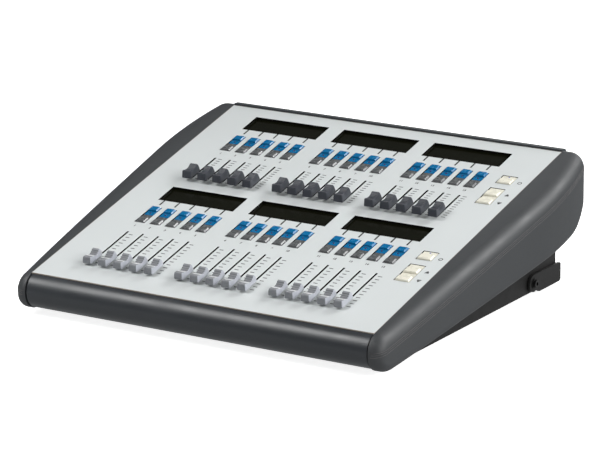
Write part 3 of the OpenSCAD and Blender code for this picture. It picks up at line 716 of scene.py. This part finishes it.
def upper_cap_stations():
    """(place, height, half width at the foot, half width at the top) along an upper cap."""
    lip, peak = (-7.4, 13.1), (7.2, 14.4)
    top = [(-7.4, 5.1), (0.0, 4.2), (7.2, 4.4), (10.8, 4.9)]
    stations = [(-9.9, 5.3, 5.3, 5.2), (-9.7, 6.6, 5.6, 5.45), (-9.2, 8.6, CAP_HALF, 5.4),
                (-8.5, 11.0, CAP_HALF, 5.3), (-8.0, 12.6, CAP_HALF, 5.2), (-7.7, 13.0, CAP_HALF, 5.1),
                (*lip, CAP_HALF, 5.1)]
    for y, height in ridged_top(lip, peak, scoop=1.7, depth=0.42, ridges=6.5, plain=0.1, steps=54):
        stations.append((y, height, CAP_HALF, ramp(top, y)))
    return stations + rear_stations(peak, UPPER_LOW, CAP_HALF, top)


def lower_cap_stations():
    """The same for a lower cap: a front block that falls back to a step, then a ridged rear block."""
    lip, step_edge, valley, peak = (-6.9, 10.25), (0.1, 8.4), (0.4, 7.8), (10.0, 11.3)
    ridge_start = (valley[0], valley[1] - 0.1)
    front_top = [(-6.9, 4.6), (-2.5, 5.1), (0.1, 5.65)]
    rear_top = [(0.3, 4.6), (4.4, 4.55), (10.0, 4.5), (13.6, 4.8)]
    stations = [(-9.4, 3.6, 4.6, 4.5), (-9.3, 5.2, 5.1, 4.9), (-8.8, 7.2, 5.5, 5.0), (-8.1, 9.0, 5.6, 4.8),
                (-7.5, 9.9, 5.65, 4.7), (*lip, CAP_HALF, 4.6)]
    for i in range(1, 9):
        y = lip[0] + (step_edge[0] - lip[0]) * i / 8
        height = lip[1] + (step_edge[1] - lip[1]) * i / 8
        stations.append((y, height, CAP_HALF, ramp(front_top, y)))
    stations += [(0.25, 8.2, CAP_HALF, 5.6), (*valley, 5.35, 4.6)]
    for y, height in ridged_top(ridge_start, peak, scoop=1.3, depth=0.8, ridges=4.5, plain=0.2, steps=44):
        stations.append((y, height, REAR_HALF, ramp(rear_top, y)))
    return stations + rear_stations(peak, LOWER_LOW, REAR_HALF, rear_top)


def cap_ring(y, top, low, foot, head):
    """One section across a cap, with rounded corners and sides that lean inwards."""
    tall = top - low
    soft = min(0.5, 0.3 * tall)
    edge = min(0.45, 0.25 * tall)
    right = [(0, low), (foot - soft, low), (foot - 0.15 * soft, low + 0.3 * soft), (foot, low + soft)]
    for share in (0.35, 0.65):
        lean = foot + (head - foot) * share ** 1.5
        right.append((lean + 0.12 * math.sin(math.pi * share), low + soft + (tall - soft - edge) * share))
    right += [(head, top - edge), (head - 0.12 * edge, top - 0.45 * edge)]
    right += [(head - 0.45 * edge, top - 0.12 * edge), (head - edge, top)]
    right += [(0.45 * head, top - 0.03), (0, top - 0.04)]
    left = [(-x, z) for x, z in reversed(right[1:-1])]
    return [(x, y, z) for x, z in right + left]


# The pale line on a lower cap, a painted highlight on the rim of its step, lies between these places, just
# in front of the step.
STEP_HIGHLIGHT_START, STEP_HIGHLIGHT_END = -2.2, 0.3


def cap_mesh(name, stations, low, materials):
    """A cap. With three materials, its sides take the second and the line at its step the third. On the
    lower caps these are a painted reflection of the bright panel on the sides and a painted highlight on
    the step's rim.
    """
    rings = [cap_ring(y, top, low, foot, head) for y, top, foot, head in stations]
    mesh = to_mesh(name, loft(rings), materials)
    if len(materials) > 1:
        for polygon in mesh.polygons:
            # The pale line across the step is a painted highlight on its rim.
            at_step_highlight = STEP_HIGHLIGHT_START < polygon.center.y < STEP_HIGHLIGHT_END and polygon.normal.z > 0.5
            # The sides take the paler colour, a painted reflection of the bright panel.
            polygon.material_index = 1 if abs(polygon.normal.x) > 0.55 else 2 * at_step_highlight
    return mesh


def lever_mesh(name, low):
    """The fader's steel lever: a thin blade with a narrower tip that the cap is pushed on to."""
    rings = []
    for z, wide, thick in ((-9.0, 3.0, 1.0), (-8.4, 3.6, 1.2), (low - 1.4, 3.6, 1.2),
                           (low - 0.8, 2.8, 1.1), (low + 1.5, 2.6, 1.0)):
        corners = ((-thick, -wide), (thick, -wide), (thick, wide), (-thick, wide))
        rings.append([(x / 2, y / 2, z) for x, y in corners])
    return to_mesh(name, loft(rings), [LEVER_STEEL])


def build_fader(bank, number, stations, low, materials):
    """A cap and its lever, at the place of the CAD fader that the cap stands in for."""
    node = f"{bank}_fader_{number:02d}"
    front = front_edge(node)
    place = PANEL @ Matrix.Translation((CHANNEL_X[number], front + LEVER_TO_FRONT[bank], 0))
    cap = cap_mesh(f"{bank}_fader_cap_{number:02d}", stations, low, materials)
    piece = add_piece(cap.name, cap, node, place, angle=38)
    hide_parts(node)
    lever = lever_mesh(f"{bank}_fader_lever_{number:02d}", low)
    add_piece(lever.name, lever, node, place)


for channel in CHANNELS:
    build_fader("upper", channel, upper_cap_stations(), UPPER_LOW, [SLATE_CAP])
    build_fader("lower", channel, lower_cap_stations(), LOWER_LOW, [GREY_CAP, PALE_SIDE_REFLECTION, STEP_HIGHLIGHT])


# ---------------------------------------------------------------- printed marks

# Ink starts just below the panel's surface and ends just above it.
INK_LOW = -0.02
INK_HIGH = 0.05

# The scales beside the slots, the lines that lead to the windows and the numbers below the keys.
# A scale starts near the lowest place of the levers. Places are up the slope.
TICKS = 11
TICK_LEFT, TICK_RIGHT = 4.5, 9.5
UPPER_TICK, LOWER_TICK = 1.15, 1.25
UPPER_REST, LOWER_REST = 240.3, 39.9
UPPER_SCALE, LOWER_SCALE = 47.9, 65.2
WINDOW_FRONT = {"upper": 361.0, "lower": 184.3}
LEADER = 10.6
LEADER_HALF = 1.0
NUMBER_PLACE = {"upper": 301.2, "lower": 124.6}
NUMBER_SIZE = 4.4
NUMBER_LEFT = 0.6
NUMBER_BOLD = 0.12


def print_marks(name, blocks, material):
    """Prints rectangles, each given by its low and its high corner, as one piece."""
    shape = bmesh.new()
    for x1, v1, x2, v2 in blocks:
        add_block(shape, (x1, v1, INK_LOW), (x2, v2, INK_HIGH))
    add_piece(name, to_mesh(name, shape, [material]), "desk", PANEL)


def fader_scale(rest, travel, width):
    """Tick marks at the right of each slot, as blocks."""
    blocks = []
    for i in CHANNELS:
        x = CHANNEL_X[i]
        for step in range(TICKS):
            v = rest + travel * step / (TICKS - 1)
            blocks.append((x + TICK_LEFT, v - width / 2, x + TICK_RIGHT, v + width / 2))
    return blocks


print_marks("upper_fader_scales", fader_scale(UPPER_REST, UPPER_SCALE, UPPER_TICK), PRINT_GREY)
print_marks("lower_fader_scales", fader_scale(LOWER_REST, LOWER_SCALE, LOWER_TICK), PRINT_GREY)

for bank, edge in WINDOW_FRONT.items():
    lines = [(x - LEADER_HALF, edge - LEADER, x + LEADER_HALF, edge) for x in CHANNEL_X.values()]
    print_marks(f"{bank}_leader_lines", lines, PRINT_DARK)


def number_mesh(text):
    """A number as thin solid print, centred on its own origin."""
    curve = bpy.data.curves.new(f"number_{text}", "FONT")
    curve.body = text
    curve.size = NUMBER_SIZE
    curve.align_x = "CENTER"
    curve.align_y = "CENTER"
    curve.extrude = (INK_HIGH - INK_LOW) / 2
    curve.offset = NUMBER_BOLD
    holder = bpy.data.objects.new("number_holder", curve)
    bpy.context.scene.collection.objects.link(holder)
    bpy.context.view_layer.update()
    mesh = bpy.data.meshes.new_from_object(holder.evaluated_get(bpy.context.evaluated_depsgraph_get()))
    bpy.data.objects.remove(holder)
    bpy.data.curves.remove(curve)
    return mesh


def build_numbers(bank, v):
    """The channel numbers of a bank, as one piece."""
    shape = bmesh.new()
    for i in CHANNELS:
        mesh = number_mesh(str(i))
        mesh.transform(Matrix.Translation((CHANNEL_X[i] - NUMBER_LEFT, v, (INK_HIGH + INK_LOW) / 2)))
        shape.from_mesh(mesh)
    bmesh.ops.remove_doubles(shape, verts=shape.verts[:], dist=0.0005)
    name = f"{bank}_channel_numbers"
    add_piece(name, to_mesh(name, shape, [PRINT_DARK]), "desk", PANEL)


for bank, v in NUMBER_PLACE.items():
    build_numbers(bank, v)


def add_prism(shape, outline):
    """Adds a flat printed shape with the given outline."""
    low = [shape.verts.new((x, v, INK_LOW)) for x, v in outline]
    high = [shape.verts.new((x, v, INK_HIGH)) for x, v in outline]
    shape.faces.new(low)
    shape.faces.new(high)
    for i in range(len(outline)):
        following = (i + 1) % len(outline)
        shape.faces.new((low[i], low[following], high[following], high[i]))


def add_ring(shape, x, v, outer, inner):
    """Adds a flat printed ring."""
    sides = 24
    corners = ((outer, INK_LOW), (outer, INK_HIGH), (inner, INK_HIGH), (inner, INK_LOW))
    turns = [2 * math.pi * k / sides for k in range(sides)]
    rings = [[shape.verts.new((x + r * math.cos(turn), v + r * math.sin(turn), z)) for r, z in corners]
             for turn in turns]
    for k in range(sides):
        near, far = rings[k], rings[(k + 1) % sides]
        for i in range(4):
            after = (i + 1) % 4
            shape.faces.new((near[i], far[i], far[after], near[after]))


# Sizes of the symbols, and the places of their middles up the slope.
SYMBOL_GAP = 9.0
SYMBOL_HALF = 2.6
ARROW_FOOT = 1.1
BAR_NEAR, BAR_FAR = 1.6, 2.4
RING_INNER = 1.7
FRONT_ARROW = PAGE_PLACES[0] + 5.5
REAR_ARROW = PAGE_PLACES[1] + 6.5
RING = PAGE_PLACES[2] + 6.0


def build_page_symbols(bank):
    """Plain symbols at the right of the page keys: two arrows for the pair and a ring for the third.

    Each arrow points away from a bar behind it, one to the front and one to the rear.
    """
    front = front_edge(f"{bank}_page_keys")
    origin = front - PAGE_PLACES[0]
    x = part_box(f"{bank}_page_keys")[1].x / MM + SYMBOL_GAP
    left, right = x - SYMBOL_HALF, x + SYMBOL_HALF
    shape = bmesh.new()
    for place, way in ((FRONT_ARROW, -1), (REAR_ARROW, 1)):
        v = origin + place
        foot = v - ARROW_FOOT * way
        add_prism(shape, [(left, foot), (right, foot), (x, v + SYMBOL_HALF * way)])
        add_block(shape, (left, v - BAR_FAR * way, INK_LOW), (right, v - BAR_NEAR * way, INK_HIGH))
    add_ring(shape, x, origin + RING, SYMBOL_HALF, RING_INNER)
    name = f"{bank}_page_symbols"
    add_piece(name, to_mesh(name, shape, [PRINT_DARK]), "desk", PANEL)


build_page_symbols("upper")
build_page_symbols("lower")


# ---------------------------------------------------------------- finishes of the CAD nodes that stay

CAD_FINISH = {
    "top_panel": PAINT, "display_windows": GLASS, "display_modules": MODULE_BLACK,
    "rear_trim": TRIM_PAINT, "base_tray": CHASSIS_BLACK, "rear_panel": CHASSIS_BLACK,
    "fader_housings": SLOT_SHADE_STEEL, "key_switches": SWITCH_BLACK, "upper_control_board": BOARD,
    "lower_control_board": BOARD, "processor_board": BOARD, "power_supply": ALUMINIUM,
    "power_inlet": SOCKET_BLACK, "usb_socket": BRIGHT_STEEL, "ribbon_cables": RIBBON,
    "board_standoffs": BRASS, "case_screws": SCREW_BLACK, "rubber_feet": RUBBER,
    "pivot_bolts": SCREW_BLACK, "tilt_leg": CHASSIS_BLACK, "power_rocker": ROCKER_BLACK,
}
for node, material in CAD_FINISH.items():
    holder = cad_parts[node]
    for material_slot in holder.material_slots:
        material_slot.material = material


# ---------------------------------------------------------------- studio

# The lift brightens the floor for the camera only. The glow is what all other rays get from it.
FLOOR_SIZE = 12
FLOOR_LIFT = 0.85
FLOOR_GLOW = 0.4
ROOM_LIGHT = 0.15

# Each light has a name, place, target, width, height, power in watts and opening angle in degrees.
LIGHTS = (
    ("rear_softbox", (1.20, 1.05, 1.40), (0.20, -0.20, 0.0), 1.0, 0.6, 3.8, 60),
    ("left_softbox", (-1.30, -1.15, 1.80), (-0.36, -0.22, 0.0), 1.4, 1.1, 4.2, 50),
    ("right_softbox", (2.75, -0.45, 1.25), (0, -0.25, 0.05), 1.2, 1.0, 6.2, 60),
    ("front_softbox", (-1.10, -2.20, 1.60), (0, -0.1, 0), 1.4, 0.8, 4, 180),
    ("back_softbox", (-0.50, 2.70, 1.20), (0, 0.2, 0.05), 1.5, 1.0, 16, 180),
)

CAMERA_PLACE = (1.981, -3.1062, 1.1304)
CAMERA_TARGET = (0.0037, 0.0064, 0.0818)
CAMERA_ROLL = -0.66
CAMERA_LENS = 207.2


def area_light(name, place, target, width, height, power, opening):
    """A rectangular light that faces its target."""
    light = bpy.data.lights.new(name, "AREA")
    light.shape = "RECTANGLE"
    light.size = width
    light.size_y = height
    light.energy = power
    light.spread = math.radians(opening)
    holder = bpy.data.objects.new(name, light)
    bpy.context.scene.collection.objects.link(holder)
    holder.location = place
    holder.rotation_mode = "QUATERNION"
    holder.rotation_quaternion = (Vector(target) - Vector(place)).to_track_quat("-Z", "Y")


def for_camera(tree, seen, unseen):
    """Chooses between two shaders: one for what the camera sees and one for all other rays."""
    rays = tree.nodes.new("ShaderNodeLightPath").outputs["Is Camera Ray"]
    chooser = tree.nodes.new("ShaderNodeMixShader")
    tree.links.new(rays, chooser.inputs[0])
    tree.links.new(unseen, chooser.inputs[1])
    tree.links.new(seen, chooser.inputs[2])
    return chooser.outputs[0]


def floor_paper():
    """White paper. It looks white, but it throws little light back up on to the desk."""
    material = finish("floor_paper", (0.9, 0.9, 0.9), 0.8, mottle=0.01, mottle_scale=1.5,
                      grain=0.05, grain_scale=400, specular=0.0)
    tree = material.node_tree
    paper = tree.nodes["Principled BSDF"]
    lift = tree.nodes.new("ShaderNodeEmission")
    lift.inputs["Color"].default_value = (1, 1, 1, 1)
    lift.inputs["Strength"].default_value = FLOOR_LIFT
    bright = tree.nodes.new("ShaderNodeAddShader")
    tree.links.new(paper.outputs[0], bright.inputs[0])
    tree.links.new(lift.outputs[0], bright.inputs[1])
    dim = tree.nodes.new("ShaderNodeBsdfDiffuse")
    dim.inputs["Color"].default_value = (0.12, 0.12, 0.12, 1)
    glow = tree.nodes.new("ShaderNodeEmission")
    glow.inputs["Color"].default_value = (0.97, 0.99, 1, 1)
    glow.inputs["Strength"].default_value = FLOOR_GLOW
    unseen = tree.nodes.new("ShaderNodeAddShader")
    tree.links.new(dim.outputs[0], unseen.inputs[0])
    tree.links.new(glow.outputs[0], unseen.inputs[1])
    surface = for_camera(tree, bright.outputs[0], unseen.outputs[0])
    tree.links.new(surface, tree.nodes["Material Output"].inputs["Surface"])
    return material


def build_studio():
    """A pale floor, a white backdrop, soft room light and the softboxes."""
    shape = bmesh.new()
    bmesh.ops.create_grid(shape, x_segments=1, y_segments=1, size=FLOOR_SIZE)
    mesh = bpy.data.meshes.new("floor")
    shape.to_mesh(mesh)
    shape.free()
    mesh.materials.append(floor_paper())
    floor = bpy.data.objects.new("floor", mesh)
    bpy.context.scene.collection.objects.link(floor)

    world = bpy.data.worlds.new("studio")
    bpy.context.scene.world = world
    world.use_nodes = True
    tree = world.node_tree
    room = tree.nodes["Background"]
    room.inputs["Color"].default_value = (0.96, 0.98, 1.0, 1)
    room.inputs["Strength"].default_value = ROOM_LIGHT
    backdrop = tree.nodes.new("ShaderNodeBackground")
    backdrop.inputs["Color"].default_value = (1, 1, 1, 1)
    backdrop.inputs["Strength"].default_value = 1.0
    surface = for_camera(tree, backdrop.outputs[0], room.outputs[0])
    tree.links.new(surface, tree.nodes["World Output"].inputs["Surface"])

    for light in LIGHTS:
        area_light(*light)
    bpy.context.scene.view_settings.view_transform = "Standard"


def build_camera():
    """A long lens from the front right and a little above, with a slight roll."""
    data = bpy.data.cameras.new("camera")
    data.sensor_width = 36
    data.lens = CAMERA_LENS
    data.clip_start = 0.1
    data.clip_end = 40
    camera = bpy.data.objects.new("camera", data)
    bpy.context.scene.collection.objects.link(camera)
    camera.location = CAMERA_PLACE
    camera.rotation_mode = "QUATERNION"
    aim = (Vector(CAMERA_TARGET) - Vector(CAMERA_PLACE)).to_track_quat("-Z", "Y")
    camera.rotation_quaternion = aim @ Matrix.Rotation(math.radians(CAMERA_ROLL), 3, "Z").to_quaternion()
    bpy.context.scene.camera = camera


build_studio()
build_camera()
